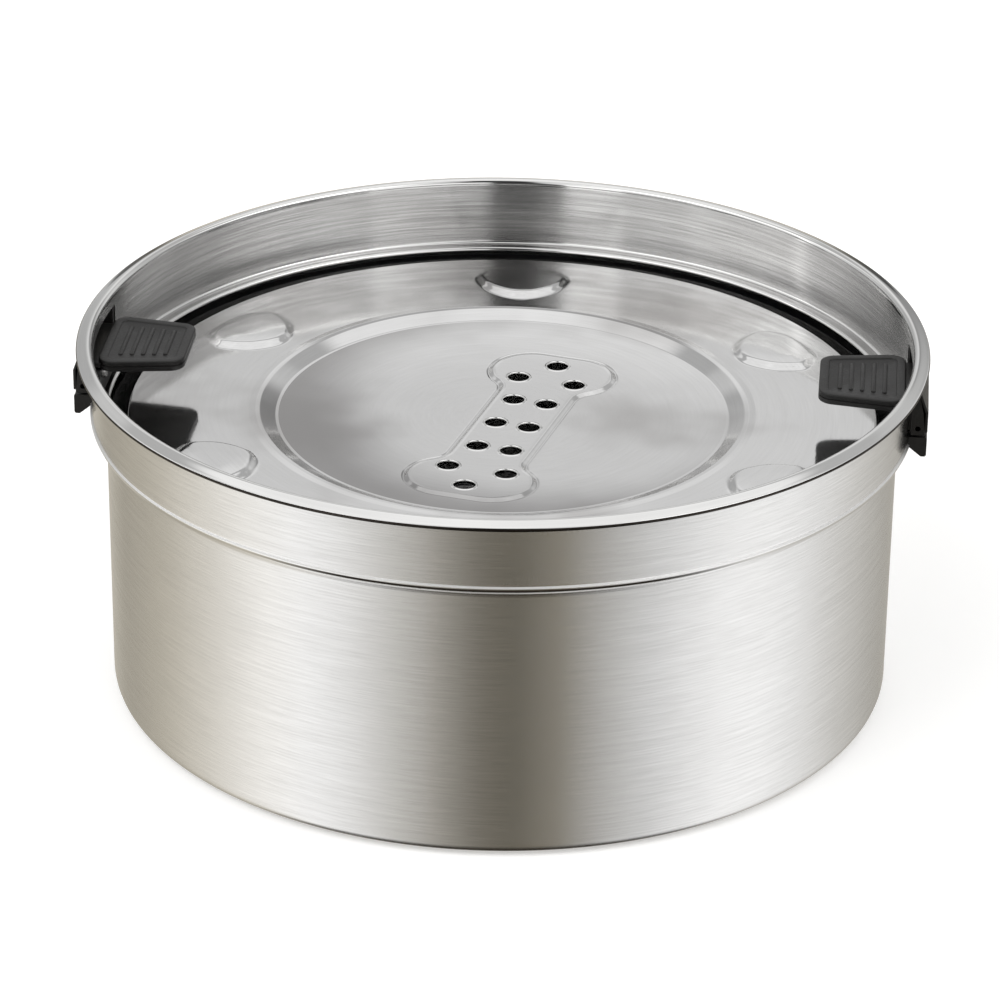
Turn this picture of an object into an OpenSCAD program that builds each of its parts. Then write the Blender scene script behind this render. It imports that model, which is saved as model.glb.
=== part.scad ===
// No-spill water bowl: a drawn steel bowl, a floating drinking disk and two sprung side clips.
// Millimetres, +Z up, origin at the centre of the base on the floor, +X through the right-hand clip.

/* [Bowl] */
// Outer diameter of the rolled rim
rim_d = 250; // [228:1:290]
// Height of the whole bowl from the floor to the top of the rim
bowl_h = 109; // [90:1:150]
// Thickness of the bowl's steel sheet
bowl_sheet = 0.8; // [0.6:0.1:1.2]
// Width of the rim outside the band
rim_w = 4.2; // [3.6:0.1:5]
// Diameter of the roll along the rim's outer edge
roll_d = 3.4; // [2.8:0.1:3.6]
// How far the straight body stands in from the band above it
shoulder_w = 4.1; // [3.4:0.1:6]
// Height of the band, from the shoulder to the top of the rim
band_h = 22.4; // [21:0.2:24]
// Radius of the corner between the wall and the base
base_r = 3; // [2.5:0.5:8]
// How far the middle of the base is raised inside its standing edge
base_recess = 2.4; // [1.6:0.1:4]

/* [Base ring] */
// Width of the rubber ring
ring_w = 10; // [6:0.5:16]
// How far the rubber ring stands below the steel
ring_proud = 0.8; // [0.4:0.1:1.5]
// Gap between the rubber ring and the slope round the base's raised middle
ring_gap = 2; // [0.5:0.5:8]

/* [Floating disk] */
// Gap between the disk's edge and the bowl's wall
disk_gap = 5.3; // [3.5:0.1:8]
// Depth of the disk's flat top below the rim, where it floats in a full bowl
disk_below = 24.1; // [23:0.1:26]
// Thickness of the disk's steel sheet
disk_sheet = 0.5; // [0.4:0.1:0.8]
// Depth of the disk's folded edge
hem_h = 3.1; // [2.8:0.1:4]
// Width of the flat land between the disk's edge and the slope down to the dish
land_w = 38; // [36:0.2:42]
// Width of that slope
slope_w = 5.5; // [4:0.1:8]
// Depth of the dish below the disk's top, at the dish's edge
dish_drop = 2; // [1.5:0.1:3]
// How much deeper the dish is at its middle
dish_sag = 1.4; // [0.6:0.1:2]

/* [Bosses] */
// Number of raised bosses around the disk
boss_count = 6; // [3:1:7]
// Direction of the first boss, in degrees from +X
boss_turn = 91.6; // [0:0.1:119]
// Distance of a boss's two side tips from the disk's edge
boss_in = 17; // [15:0.1:18]
// Width of a boss from tip to tip
boss_w = 28; // [20:0.5:32]
// Height of a boss above the disk's top
boss_h = 1.7; // [1:0.1:2.2]

/* [Bone and holes] */
// Direction of the bone's length, in degrees from +X
bone_turn = 77; // [0:1:180]
// Smallest gap between the bone's ends and the edge of the dish
bone_margin = 10.5; // [6:0.1:16]
// Width across the bone's ends
bone_end_w = 37.6; // [34:0.2:42]
// Width of the bone's shank
bone_shank_w = 22.6; // [20:0.2:26]
// Height of the bone above the dish
bone_h = 0.5; // [0.3:0.1:1]
// Shift of the bone along its own length
bone_slide = -5.6; // [-8:0.1:8]
// Shift of the bone across its own length
bone_side = 5; // [-6:0.1:6]
// Diameter of a drinking hole
hole_d = 6.2; // [4:0.1:7]
// Distance from the bone's end to its outermost hole
hole_end = 7.4; // [6:0.1:9]
// Distance along the bone from its outermost hole to the next pair
hole_step = 11.1; // [9:0.1:12]
// Place of the shank's outer pairs, as a share of the way from the middle to the end pairs
hole_share = 0.52; // [0.46:0.01:0.54]
// Distance between the two holes of a pair in the bone's ends
hole_wide = 17.6; // [15:0.1:20]
// Distance between the two holes of a pair in the shank
hole_narrow = 10.3; // [8:0.1:12]

/* [Float] */
// Depth of the float tray below its flange
tray_h = 15.5; // [12:0.5:22]
// How far the tray's outer wall stands inside the disk's edge
tray_in = 3.5; // [3:0.1:6]
// How far the tray's inner wall stands outside the slope down to the dish
tray_bore_gap = 2.4; // [1.8:0.1:5]
// Thickness of the float tray's walls
tray_wall = 1.2; // [1:0.1:2]
// Thickness of the two soft seals between tray and disk
seal_h = 0.6; // [0.4:0.1:1]
// Width of the two soft seals
seal_w = 2.4; // [1.6:0.1:2.6]

/* [Clips] */
// Depth of the tab's top face below the rim
tab_below = 8.6; // [8:0.1:10]
// Thickness of the tab
tab_h = 3.2; // [2.6:0.1:4]
// How far the tab reaches inward from the rim's outer edge
tab_reach = 32; // [28:0.5:34]
// Width of the tab at the wall
tab_root_w = 34.8; // [32:0.2:38]
// Width of the tab at its inner end
tab_tip_w = 27; // [22:0.5:30]
// Radius of the tab's corners
tab_corner_r = 3; // [1.5:0.1:5]
// Number of grip ribs in the tab's shallow panel
grip_count = 5; // [2:1:6]
// Height of the lever's outer plate
plate_h = 12.2; // [11:0.1:12.6]
// Thickness of the lever's outer plate
plate_t = 1; // [0.8:0.1:1.2]
// Depth of the hinge pin below the rim
pin_below = 16.4; // [16:0.1:17]
// Diameter of the hinge pin
pin_d = 1.6; // [1.2:0.1:1.8]
// Depth of the hinge pin's axis behind the outer plate's face
pin_in = 2.8; // [2.7:0.1:3]
// Height of the bracket's foot block
foot_h = 6; // [5:0.1:6.6]
// Diameter of a clamp screw's shank
screw_d = 2; // [1.6:0.1:2.2]
// Distance between the two clamp screws of one clip
screw_gap = 22.8; // [22:0.1:24]
// Diameter of the spring's wire
wire_d = 0.6; // [0.4:0.05:0.65]
// Number of turns in the spring
spring_turns = 5; // [3:1:7]

/* [Clearances] */
// Gap around a turning pin
run_gap = 0.05; // [0.03:0.01:0.1]
// Gap between parts that rest on each other
rest_gap = 0.3; // [0.2:0.05:0.5]
// Gap on each side of the lever in its window
window_gap = 0.5; // [0.4:0.1:1]

/* [Hidden] */
$fn = 96;
smooth = 240;

// Bowl profile, from the rim down
rim_r = rim_d / 2;
roll_r = roll_d / 2;
band_r = rim_r - rim_w;
body_r = band_r - shoulder_w;
shoulder_z = bowl_h - band_h;
band_corner_r = 1.2;
foot_w = 3;
recess_r = body_r - base_r - foot_w;
recess_slope = 2;
ring_r = recess_r - recess_slope - ring_gap;

// Disk profile
disk_z = bowl_h - disk_below;
disk_r = body_r - bowl_sheet - disk_gap;
slope_r = disk_r - land_w;
dish_r = slope_r - slope_w;
edge_r = 1.2;
tray_r = disk_r - tray_in;
hem_end_r = tray_r + 0.1;
boss_at = disk_r - boss_in;
bone_l = 2 * (dish_r - abs(bone_slide) - bone_margin);
hole_far = bone_l / 2 - hole_end;
hole_pair = hole_far - hole_step;
hole_row = hole_pair * hole_share;
flange_r = disk_r - disk_sheet - 0.1;
flange_top = disk_z - disk_sheet - seal_h;
flange_h = hem_h - 2 * disk_sheet - seal_h;
flange_bevel = edge_r - disk_sheet - 0.1;
tray_bore_r = slope_r + tray_bore_gap;
tray_bottom = flange_top - tray_h;

// Clip places, measured along +X for the right-hand clip
face_x = rim_r;
plate_in = face_x - plate_t;
pin_x = face_x - pin_in;
pin_r = pin_d / 2;
tip_x = rim_r - tab_reach;
tab_top = bowl_h - tab_below;
pin_z = bowl_h - pin_below;
root_x = band_r - bowl_sheet - 2.6;
arm_bottom = tab_top - tab_h;
lever_w = tab_root_w + 0.4;
cheek_t = 1.8;
cheek_r = 2.2;
ear_r = pin_in - plate_t - 0.2;
ear_out = pin_x + 0.6;
ear_y_in = 8;
ear_y_out = lever_w / 2 - cheek_t - rest_gap;
ear_top = arm_bottom - rest_gap;
foot_top = pin_z - cheek_r - 0.7;
foot_bottom = foot_top - foot_h;
plate_bottom = pin_z - 1.2;
plate_top = plate_bottom + plate_h;
window_w = tab_root_w + 2 * window_gap;
window_bottom = foot_top + 1.3;
window_top = plate_top;
retainer_t = 1.6;
retainer_w = 32;
retainer_out = sqrt(pow(band_r - bowl_sheet, 2) - pow(retainer_w / 2, 2)) - 0.05;
retainer_in = retainer_out - retainer_t;
retainer_bottom = shoulder_z + 1.6;
retainer_top = ear_top - 0.1;
screw_r = screw_d / 2;
screw_z = pin_z + pin_r + screw_r + 0.6;
screw_end = ear_out - 0.9;
screw_head_r = 1.7;
screw_head_h = 1.2;
wire_r = wire_d / 2;
coil_r = pin_r + 0.15 + wire_r;
coil_pitch = wire_d + 0.1;
coil_w = spring_turns * coil_pitch;
leg_x = pin_x + coil_r;
leg_hole_h = 2.4;

// Points of an arc around c, from angle a to angle b
function arc(c, r, a, b, n) =
    [for (i = [0:n]) c + r * [cos(a + (b - a) * i / n), sin(a + (b - a) * i / n)]];

// Unit vector from p to q
function toward(p, q) = (q - p) / norm(q - p);

// Outline with every corner rounded to radius r, for a convex outline listed anticlockwise
function rounded(pts, r, n = 6) = [for (i = [0:len(pts) - 1])
    let (p = pts[i], a = toward(p, pts[(i + len(pts) - 1) % len(pts)]), b = toward(p, pts[(i + 1) % len(pts)]))
    let (half = acos(a * b) / 2, mid = (a + b) / norm(a + b), c = p + mid * r / sin(half))
    let (from = atan2(-mid[1], -mid[0]) - (90 - half))
    each arc(c, r, from, from + 180 - 2 * half, n)];

// A sheet of thickness t whose one face follows path; the sheet lies to the right of the path
function side(path, i) =
    let (a = path[max(i - 1, 0)], b = path[i], c = path[min(i + 1, len(path) - 1)])
    let (u = i == 0 ? toward(b, c) : toward(a, b), v = i == len(path) - 1 ? toward(a, b) : toward(b, c))
    let (m = [u[1] + v[1], -u[0] - v[0]])
    2 * m / (m * m);
function sheet(path, t) = concat(path, [for (i = [len(path) - 1:-1:0]) path[i] + t * side(path, i)]);

module spin(points) { rotate_extrude($fn = smooth) polygon(points); }

// Bowl

// Outer face of the bowl from the middle of the base up the wall and round inside the rim's roll
function bowl_path() = concat(
    [[0, ring_proud + base_recess], [recess_r - recess_slope, ring_proud + base_recess], [recess_r, ring_proud]],
    arc([body_r - base_r, ring_proud + base_r], base_r, -90, 0, 8),
    arc([body_r + 0.8, shoulder_z - 1.6], 0.8, 180, 90, 4),
    arc([band_r - band_corner_r, shoulder_z - 0.8 + band_corner_r], band_corner_r, -90, 0, 6),
    arc([band_r + 0.6, bowl_h - bowl_sheet - 0.6], 0.6, 180, 90, 4),
    arc([rim_r - roll_r, bowl_h - roll_r], roll_r - bowl_sheet, 90, -150, 14));

// Bottom of the base's raised middle inside the bowl, where an unfloated disk comes to rest
base_floor = ring_proud + base_recess + bowl_sheet;

module bowl_shell() {
    color([0.78, 0.77, 0.75])
    difference() {
        spin([for (p = sheet(bowl_path(), -bowl_sheet)) [max(p[0], 0), p[1]]]);
        for (s = [-1, 1])
            translate([s * band_r, 0, (window_bottom + window_top) / 2])
                cube([12, window_w, window_top - window_bottom], center = true);
    }
}

module base_ring() {
    color([0.12, 0.12, 0.12])
    spin([[ring_r - ring_w, 0.6], [ring_r - ring_w + 0.6, 0], [ring_r - 0.6, 0], [ring_r, 0.6],
        [ring_r, ring_proud + base_recess], [ring_r - ring_w, ring_proud + base_recess]]);
}

// Floating disk

// Radius of the dish's shallow sphere
dish_ball = (dish_r * dish_r + dish_sag * dish_sag) / (2 * dish_sag);
dish_half = asin(dish_r / dish_ball);

// Upper face of the disk from its middle to the end of its folded edge
function dish_path() = arc([0, disk_z - dish_drop - dish_sag + dish_ball], dish_ball, -90, dish_half - 90, 12);
function disk_path() = concat(dish_path(),
    [[slope_r - 0.6, disk_z - 0.2], [slope_r + 0.6, disk_z]],
    arc([disk_r - edge_r, disk_z - edge_r], edge_r, 90, 0, 6),
    arc([disk_r - edge_r, disk_z - hem_h + edge_r], edge_r, 0, -90, 6),
    [[hem_end_r, disk_z - hem_h]]);

// Straight bone outline, grown by extra on every side
module bone_outline(extra = 0) {
    knob_r = bone_end_w / 3;
    translate([bone_slide, -bone_side]) {
        square([bone_l - 2 * knob_r, bone_shank_w + 2 * extra], center = true);
        for (s = [-1, 1]) translate([s * (bone_l / 2 - knob_r), 0]) {
            square([2 * (knob_r + extra), bone_end_w - 2 * knob_r], center = true);
            for (t = [-1, 1]) translate([0, t * (bone_end_w / 2 - knob_r)]) circle(knob_r + extra);
        }
    }
}

// Centres of the drinking holes, along and across the bone
function hole_places() = [for (s = [-1, 1]) each concat(
    [[s * hole_far, 0]],
    [for (t = [-1, 1]) [s * hole_pair, t * hole_wide / 2]],
    [for (t = [-1, 1]) [s * hole_row, t * hole_narrow / 2]]),
    for (t = [-1, 1]) [0, t * hole_narrow / 2]];

// Outline of a boss at its foot and at its flat top, as distance out and distance across
function boss_foot(e) = let (w = boss_w / 2 - e)
    [[boss_at - 16.6 + e, -5], [boss_at - 16.6 + e, 5], [boss_at - 9, w - 3.6], [boss_at, w],
    [boss_at + 5, w - 2.4], [boss_at + 9 - e, w - 7], [boss_at + 9 - e, 7 - w], [boss_at + 5, 2.4 - w],
    [boss_at, -w], [boss_at - 9, 3.6 - w]];
function boss_flat(e) = let (w = boss_w / 2 - 3 - e)
    [[boss_at - 9 + e, -1], [boss_at - 9 + e, 1], [boss_at - 4.5, w / 2], [boss_at, w - 0.5],
    [boss_at + 3, w - 1.5], [boss_at + 7.4 - e, w - 4.6], [boss_at + 7.4 - e, 4.6 - w], [boss_at + 3, 1.5 - w],
    [boss_at, 0.5 - w], [boss_at - 4.5, -w / 2]];

// A closed solid between a lower outline at z0 and an upper outline at z1, both anticlockwise
module loft(low, high, z0, z1) {
    n = len(low);
    polyhedron(
        points = concat([for (p = low) [p[0], p[1], z0]], [for (p = high) [p[0], p[1], z1]]),
        faces = concat([[for (i = [0:n - 1]) i]], [[for (i = [n - 1:-1:0]) n + i]],
            [for (i = [0:n - 1]) [i, n + i, n + (i + 1) % n, (i + 1) % n]]));
}

function flip(pts) = [for (i = [len(pts) - 1:-1:0]) pts[i]];

module boss(e, drop) {
    loft(flip(boss_foot(e)), flip(boss_flat(e)), disk_z - disk_sheet * 0.5 - drop, disk_z + boss_h - drop);
}

module bone_prism(extra, z0, h) {
    rotate([0, 0, bone_turn]) translate([0, 0, z0]) linear_extrude(h) bone_outline(extra);
}

module dish_skin(lift) {
    spin([for (p = sheet(concat(dish_path(), [[slope_r, disk_z]]), disk_sheet)) [max(p[0], 0), p[1] + lift]]);
}

module float_disk() {
    low = disk_z - 12;
    color([0.82, 0.82, 0.82])
    difference() {
        union() {
            difference() {
                spin([for (p = sheet(disk_path(), disk_sheet)) [max(p[0], 0), p[1]]]);
                bone_prism(-disk_sheet, low, 24);
                for (i = [0:boss_count - 1])
                    rotate([0, 0, boss_turn + 360 * i / boss_count]) boss(disk_sheet, disk_sheet);
            }
            intersection() {
                dish_skin(bone_h);
                bone_prism(0, low, 24);
            }
            intersection() {
                dish_skin(bone_h / 2);
                difference() {
                    bone_prism(0, low, 24);
                    bone_prism(-disk_sheet, low - 1, 26);
                }
            }
            for (i = [0:boss_count - 1]) rotate([0, 0, boss_turn + 360 * i / boss_count])
                difference() {
                    boss(0, 0);
                    boss(disk_sheet, disk_sheet);
                }
        }
        rotate([0, 0, bone_turn]) for (p = hole_places())
            translate([p[0] + bone_slide, p[1] - bone_side, low]) cylinder(d = hole_d, h = 24, $fn = 32);
    }
}

module float_tray() {
    color([0.14, 0.14, 0.15])
    spin([[tray_bore_r, tray_bottom], [tray_r, tray_bottom], [tray_r, flange_top - flange_h],
        [flange_r - flange_bevel, flange_top - flange_h], [flange_r, flange_top - flange_h + flange_bevel],
        [flange_r, flange_top], [tray_r - tray_wall, flange_top],
        [tray_r - tray_wall, tray_bottom + tray_wall], [tray_bore_r + tray_wall, tray_bottom + tray_wall],
        [tray_bore_r + tray_wall, flange_top - tray_wall], [tray_bore_r + seal_w, flange_top - tray_wall],
        [tray_bore_r + seal_w, flange_top], [tray_bore_r, flange_top]]);
}

module seal(inner_r) {
    spin([[inner_r, flange_top], [inner_r + seal_w, flange_top],
        [inner_r + seal_w, flange_top + seal_h], [inner_r, flange_top + seal_h]]);
}

module float_seal_outer() { color([0.85, 0.85, 0.85]) seal(flange_r - seal_w - 0.6); }

module float_seal_inner() { color([0.85, 0.85, 0.85]) seal(tray_bore_r); }

// Clips, drawn for the right-hand side

// Tab outline with its edges set in by e
function tab_outline(e) =
    rounded([[tip_x + e, e - tab_tip_w / 2], [root_x - e, e - tab_root_w / 2],
        [root_x - e, tab_root_w / 2 - e], [tip_x + e, tab_tip_w / 2 - e]], tab_corner_r - e);

module tab() {
    groove = 0.3;
    skin = 0.4;
    base_h = tab_h * 0.5;
    panel_in = 2.6;
    rib_w = 1;
    rib_space = (root_x - tip_x - 2 * panel_in) / (grip_count + 1);
    difference() {
        union() {
            translate([0, 0, arm_bottom]) linear_extrude(base_h) polygon(tab_outline(0));
            translate([0, 0, arm_bottom + base_h]) linear_extrude(groove) polygon(tab_outline(groove));
            translate([0, 0, arm_bottom + base_h + groove])
                linear_extrude(tab_h - base_h - groove - skin) polygon(tab_outline(0));
            translate([0, 0, tab_top - skin]) linear_extrude(skin) polygon(tab_outline(skin));
        }
        translate([0, 0, tab_top - skin]) linear_extrude(1) difference() {
            polygon(tab_outline(panel_in));
            for (i = [1:grip_count]) translate([tip_x + panel_in + i * rib_space - rib_w / 2, -tab_tip_w / 2 + 4.5])
                square([rib_w, tab_tip_w - 9]);
        }
    }
}

// A flat plate in the XZ plane, thick along Y, from y0 to y1
module slab(y0, y1) { translate([0, y1, 0]) rotate([90, 0, 0]) linear_extrude(y1 - y0) children(); }

module lever() {
    cheek_in = pin_x - cheek_r;
    rib_x = leg_x - wire_r - 0.1;
    rib_w = 1.1;
    difference() {
        union() {
            tab();
            translate([root_x - tab_corner_r - 0.5, -tab_root_w / 2 + 0.1, arm_bottom])
                cube([face_x - root_x + tab_corner_r + 0.5, tab_root_w - 0.2, tab_h]);
            translate([plate_in, -lever_w / 2, plate_bottom]) cube([plate_t, lever_w, plate_h]);
            for (y = [-lever_w / 2, lever_w / 2 - cheek_t]) slab(y, y + cheek_t) {
                translate([pin_x, pin_z]) circle(cheek_r, $fn = 48);
                translate([cheek_in, pin_z]) square([face_x - cheek_in, arm_bottom - pin_z + 1]);
            }
            translate([rib_x - rib_w, coil_w / 2 - wire_r - 0.6, arm_bottom - 2.2]) cube([rib_w, 1.8, 2.4]);
        }
        translate([pin_x, -lever_w, pin_z]) rotate([-90, 0, 0]) cylinder(r = pin_r, h = 2 * lever_w, $fn = 48);
    }
}

module bracket() {
    slant = 3.8;
    ear_in = retainer_out;
    difference() {
        union() {
            slab(-lever_w / 2 + 0.3, lever_w / 2 - 0.3)
                polygon([[body_r + 2, foot_top], [body_r + 2, foot_bottom + slant], [face_x - 1.6, foot_bottom],
                    [face_x - 0.4, foot_bottom], [face_x, foot_bottom + 0.5], [face_x, foot_top - 0.4],
                    [face_x - 0.4, foot_top]]);
            for (y = [-ear_y_out, ear_y_in]) slab(y, y + ear_y_out - ear_y_in) {
                translate([band_r - 1, foot_top - 1]) square([ear_out - band_r + 1, pin_z - foot_top + 1]);
                translate([ear_in, window_bottom + 0.2]) square([pin_x - ear_in, pin_z - window_bottom]);
                translate([ear_in, pin_z]) square([ear_out - ear_in, ear_top - pin_z]);
                translate([pin_x, pin_z]) circle(ear_r, $fn = 48);
            }
        }
        translate([pin_x, -lever_w, pin_z]) rotate([-90, 0, 0]) cylinder(r = pin_r + run_gap, h = 2 * lever_w, $fn = 48);
        difference() {
            translate([0, 0, foot_bottom - 5]) cylinder(r = band_r + 0.1, h = window_bottom + 0.1 - foot_bottom + 5, $fn = smooth);
            translate([0, 0, foot_bottom - 6]) cylinder(r = body_r - 8, h = 30, $fn = smooth);
        }
        for (y = [-screw_gap / 2, screw_gap / 2]) translate([retainer_out - 1, y, screw_z])
            rotate([0, 90, 0]) cylinder(r = screw_r, h = screw_end - retainer_out + 1, $fn = 32);
        translate([leg_x, -coil_w / 2, foot_top - leg_hole_h]) cylinder(r = wire_r + 0.15, h = leg_hole_h + 1, $fn = 24);
    }
}

module retainer() {
    difference() {
        translate([retainer_in, 0, 0]) rotate([90, 0, 90]) linear_extrude(retainer_t)
            polygon(rounded([[-retainer_w / 2, retainer_bottom], [retainer_w / 2, retainer_bottom],
                [retainer_w / 2, retainer_top], [-retainer_w / 2, retainer_top]], 1.5));
        for (y = [-screw_gap / 2, screw_gap / 2]) translate([retainer_in - 1, y, screw_z])
            rotate([0, 90, 0]) cylinder(r = screw_r + 0.1, h = retainer_t + 2, $fn = 32);
    }
}

module clamp_screws() {
    slot = 0.4;
    for (y = [-screw_gap / 2, screw_gap / 2]) translate([retainer_in, y, screw_z]) difference() {
        union() {
            rotate([0, 90, 0]) cylinder(r = screw_r, h = screw_end - retainer_in - 0.2, $fn = 32);
            translate([-screw_head_h, 0, 0]) rotate([0, 90, 0]) cylinder(r = screw_head_r, h = screw_head_h, $fn = 48);
        }
        for (a = [0, 90]) rotate([a, 0, 0])
            cube([2 * (screw_head_h - 0.5), slot, screw_head_r * 1.5], center = true);
    }
}

module hinge_pin() {
    translate([pin_x, -lever_w / 2, pin_z]) rotate([-90, 0, 0]) cylinder(r = pin_r, h = lever_w, $fn = 48);
}

// Middle line of the spring's wire: place, and the direction away from the coil's axis
function spring_line() = let (turn_steps = 18, total = spring_turns * turn_steps) concat(
    [[[leg_x, -coil_w / 2, foot_top - leg_hole_h + 0.3], 0]],
    [for (i = [0:total]) let (a = 360 * i / turn_steps)
        [[pin_x + coil_r * cos(a), coil_w * (i / total - 0.5), pin_z + coil_r * sin(a)], a]],
    [[[leg_x, coil_w / 2, arm_bottom - 0.5], 0]]);

module spring() {
    sides = 8;
    line = spring_line();
    rings = len(line);
    polyhedron(
        points = [for (l = line) for (j = [0:sides - 1]) let (t = 360 * j / sides)
            l[0] + wire_r * (cos(t) * [cos(l[1]), 0, sin(l[1])] + sin(t) * [0, 1, 0])],
        faces = concat([[for (j = [0:sides - 1]) j]],
            [[for (j = [sides - 1:-1:0]) (rings - 1) * sides + j]],
            [for (i = [0:rings - 2]) for (j = [0:sides - 1])
                [i * sides + j, (i + 1) * sides + j, (i + 1) * sides + (j + 1) % sides, i * sides + (j + 1) % sides]]));
}

// Turns a piece drawn for the right-hand side to the side named
module at_side(right) { rotate([0, 0, right ? 0 : 180]) children(); }

black = [0.13, 0.13, 0.14];
steel = [0.75, 0.75, 0.76];

module bracket_at(right) { color(black) at_side(right) bracket(); }
module retainer_at(right) { color(black) at_side(right) retainer(); }
module lever_at(right) { color(black) at_side(right) lever(); }
module hinge_pin_at(right) { color(steel) at_side(right) hinge_pin(); }
module spring_at(right) { color(steel) at_side(right) spring(); }
module clamp_screws_at(right) { color(steel) at_side(right) clamp_screws(); }

bowl_shell();
base_ring();
float_disk();
float_tray();
float_seal_outer();
float_seal_inner();
bracket_at(true);  // bracket_right
retainer_at(true);  // retainer_right
lever_at(true);  // lever_right
hinge_pin_at(true);  // hinge_pin_right
spring_at(true);  // spring_right
clamp_screws_at(true);  // clamp_screws_right
bracket_at(false);  // bracket_left
retainer_at(false);  // retainer_left
lever_at(false);  // lever_left
hinge_pin_at(false);  // hinge_pin_left
spring_at(false);  // spring_left
clamp_screws_at(false);  // clamp_screws_left
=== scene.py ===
# No-spill water bowl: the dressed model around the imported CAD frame. Metres, +Z up.
import math

import bpy
import numpy as np
from mathutils import Matrix, Vector


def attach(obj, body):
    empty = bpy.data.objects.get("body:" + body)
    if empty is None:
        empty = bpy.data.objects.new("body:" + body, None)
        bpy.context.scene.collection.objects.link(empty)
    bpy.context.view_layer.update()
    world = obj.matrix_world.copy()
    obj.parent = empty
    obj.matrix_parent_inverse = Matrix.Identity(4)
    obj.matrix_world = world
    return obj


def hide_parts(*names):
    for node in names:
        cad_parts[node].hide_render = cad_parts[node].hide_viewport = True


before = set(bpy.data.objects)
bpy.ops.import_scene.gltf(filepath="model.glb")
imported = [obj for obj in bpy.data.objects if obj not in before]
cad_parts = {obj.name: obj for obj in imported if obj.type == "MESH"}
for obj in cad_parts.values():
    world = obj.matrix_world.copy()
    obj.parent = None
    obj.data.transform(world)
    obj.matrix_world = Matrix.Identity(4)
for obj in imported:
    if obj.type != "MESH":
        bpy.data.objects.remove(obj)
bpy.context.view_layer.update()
print("frame loaded:", len(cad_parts), "CAD nodes")

mm = 0.001


# Rounds the corners of a polyline of (across, up) points: each corner becomes an arc of its own
# radius that touches both sides, cut into steps of a few degrees.
def roundedPath(points, radii, turnStep=8.0):
    out = [np.array(points[0], float)]
    for k in range(1, len(points) - 1):
        before, corner, after = (np.array(points[k + d], float) for d in (-1, 0, 1))
        u, v = (before - corner), (after - corner)
        u, v = u / np.linalg.norm(u), v / np.linalg.norm(v)
        half = math.acos(float(np.clip(u @ v, -1, 1))) / 2
        middle = corner + (u + v) / np.linalg.norm(u + v) * radii[k] / math.sin(half)
        start = corner + u * radii[k] / math.tan(half)
        end = corner + v * radii[k] / math.tan(half)
        a = math.atan2(*(start - middle)[::-1])
        b = math.atan2(*(end - middle)[::-1])
        b = a + (b - a + math.pi) % (2 * math.pi) - math.pi
        count = max(2, int(math.degrees(abs(b - a)) / turnStep) + 1)
        t = np.linspace(a, b, count + 1)
        out.extend(middle + radii[k] * np.stack((np.cos(t), np.sin(t)), -1))
    out.append(np.array(points[-1], float))
    path = np.array(out)
    keep = np.concatenate(([True], np.linalg.norm(np.diff(path, axis=0), axis=1) > 1e-6))
    return path[keep]


# Points of an arc around c, from angle a to angle b in degrees
def arcPoints(c, r, a, b, count):
    t = np.radians(np.linspace(a, b, count + 1))
    return np.stack((c[0] + r * np.cos(t), c[1] + r * np.sin(t)), -1)


# Adds points so that no step along the path is longer than the longest step allowed. A step longer
# than a short straight gets a few more, and all of them lie closer together at its two ends, which
# keeps the shading flat between them.
def refined(path, longest, straight=0.8, extra=4):
    lengths = np.linalg.norm(np.diff(path, axis=0), axis=1)
    steps = np.maximum(1, np.ceil(lengths / longest)).astype(int)
    steps[lengths > straight] += extra
    which = np.repeat(np.arange(len(steps)), steps)
    share = np.concatenate([(1 - np.cos(np.pi * np.arange(n) / n)) / 2 for n in steps])[:, None]
    inner = path[which] * (1 - share) + path[which + 1] * share
    return np.vstack((inner, path[-1:]))


# Points at equal steps along a path, from its length up to each of its points
def evenly(path, count):
    length = np.concatenate(([0], np.cumsum(np.linalg.norm(np.diff(path, axis=0), axis=1))))
    at = np.linspace(0, length[-1], count)
    return np.stack([np.interp(at, length, path[:, k]) for k in (0, 1)], -1)


# Normal to the left of travel at each point of the path: the sum of the unit normals of its two
# sides, made long enough for an offset along it to lie one unit from both sides
def leftNormals(path):
    side = np.diff(path, axis=0)
    side /= np.linalg.norm(side, axis=1)[:, None]
    turned = np.stack((-side[:, 1], side[:, 0]), -1)
    mean = np.vstack((turned[:1], turned[:-1] + turned[1:], turned[-1:]))
    mean[1:-1] /= (mean[1:-1] ** 2).sum(1)[:, None] / 2
    return mean


# Four corner numbers of each cell of a grid numbered row by row, turning anticlockwise as seen from
# the side that (along the row) x (along the column) faces
def gridFaces(ids, wrap=False):
    right = np.roll(ids, -1, axis=1) if wrap else ids[:, 1:]
    left = ids if wrap else ids[:, :-1]
    return np.stack((left[:-1], right[:-1], right[1:], left[1:]), -1)


# Fans of triangles from the first and the last row of a closed grid to two more corners, which are
# numbered after those of the grid
def endFans(ids):
    first, last = ids[0], ids[-1]
    low, high = np.full_like(first, ids.size), np.full_like(last, ids.size + 1)
    return np.concatenate((np.stack((low, np.roll(first, -1), first, first), -1),
                           np.stack((high, last, np.roll(last, -1), np.roll(last, -1)), -1)))


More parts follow.
